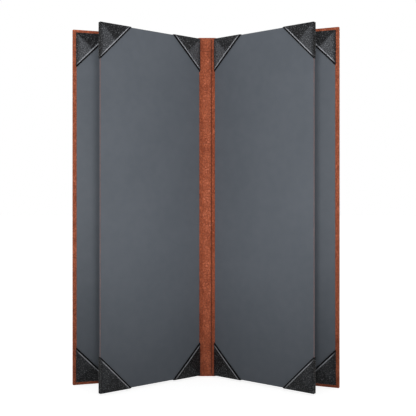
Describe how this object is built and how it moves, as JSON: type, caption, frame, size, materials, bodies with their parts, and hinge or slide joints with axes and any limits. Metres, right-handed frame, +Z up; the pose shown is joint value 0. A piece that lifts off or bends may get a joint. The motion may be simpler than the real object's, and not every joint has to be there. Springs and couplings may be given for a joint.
{
  "type": "menu cover",
  "caption": "Tall menu cover with a leatherette case, stiff inner leaves and leather corner pockets on dark panels, standing open.",
  "frame": {"origin": "bottom centre of the bounding box, on the surface that the menu cover stands on", "axes": "+Z up along the spine, -Y towards the reader, +X towards the back cover"},
  "size_m": [0.2746, 0.0836, 0.368],
  "materials": {
    "leatherette": "brown pebble-grain leatherette",
    "greyboard": "plain grey board",
    "panel_satin": "dark grey satin book cloth on card",
    "pocket_leather": "black grained leather"
  },
  "bodies": {
    "spine": {"spine_wrap": "leatherette", "spine_board": "greyboard", "spine_lining": "leatherette", "inner_sheet_strip": "leatherette"},
    "front_cover": {"front_cover_wrap": "leatherette", "front_cover_board": "greyboard", "front_cover_lining": "leatherette", "front_cover_panel": "panel_satin", "front_cover_pocket_foot_hinge": "pocket_leather", "front_cover_pocket_head_hinge": "pocket_leather", "front_cover_pocket_foot_fore": "pocket_leather", "front_cover_pocket_head_fore": "pocket_leather"},
    "back_cover": {"back_cover_wrap": "leatherette", "back_cover_board": "greyboard", "back_cover_lining": "leatherette", "back_cover_panel": "panel_satin", "back_cover_pocket_foot_hinge": "pocket_leather", "back_cover_pocket_head_hinge": "pocket_leather", "back_cover_pocket_foot_fore": "pocket_leather", "back_cover_pocket_head_fore": "pocket_leather"},
    "first_leaf": {"first_leaf_core": "leatherette", "first_leaf_inner_panel": "panel_satin", "first_leaf_outer_panel": "panel_satin", "first_leaf_inner_pocket_foot_hinge": "pocket_leather", "first_leaf_inner_pocket_head_hinge": "pocket_leather", "first_leaf_inner_pocket_foot_fore": "pocket_leather", "first_leaf_inner_pocket_head_fore": "pocket_leather", "first_leaf_outer_pocket_foot_hinge": "pocket_leather", "first_leaf_outer_pocket_head_hinge": "pocket_leather", "first_leaf_outer_pocket_foot_fore": "pocket_leather", "first_leaf_outer_pocket_head_fore": "pocket_leather"},
    "second_leaf": {"second_leaf_core": "leatherette", "second_leaf_inner_panel": "panel_satin", "second_leaf_outer_panel": "panel_satin", "second_leaf_inner_pocket_foot_hinge": "pocket_leather", "second_leaf_inner_pocket_head_hinge": "pocket_leather", "second_leaf_inner_pocket_foot_fore": "pocket_leather", "second_leaf_inner_pocket_head_fore": "pocket_leather", "second_leaf_outer_pocket_foot_hinge": "pocket_leather", "second_leaf_outer_pocket_head_hinge": "pocket_leather", "second_leaf_outer_pocket_foot_fore": "pocket_leather", "second_leaf_outer_pocket_head_fore": "pocket_leather"}
  },
  "joints": [
    {"name": "front_cover_hinge", "type": "hinge", "parent": "spine", "child": "front_cover", "pos_m": [-0.01034, 0.04127, 0], "axis": [0, 0, 1], "range_deg": [-17, 73]},
    {"name": "back_cover_hinge", "type": "hinge", "parent": "spine", "child": "back_cover", "pos_m": [0.01466, 0.04127, 0], "axis": [0, 0, -1], "range_deg": [-22.5, 67.5]},
    {"name": "first_leaf_hinge", "type": "hinge", "parent": "spine", "child": "first_leaf", "pos_m": [-0.00203, 0.03877, 0], "axis": [0, 0, 1], "range_deg": [-12.61, 52.2]},
    {"name": "second_leaf_hinge", "type": "hinge", "parent": "spine", "child": "second_leaf", "pos_m": [0.00636, 0.03877, 0], "axis": [0, 0, -1], "range_deg": [-17.83, 52.2]}
  ],
  "couplings": [
    {"joint": "first_leaf_hinge", "follows": "front_cover_hinge", "ratio": 0.7123},
    {"joint": "second_leaf_hinge", "follows": "back_cover_hinge", "ratio": 0.7704}
  ]
}
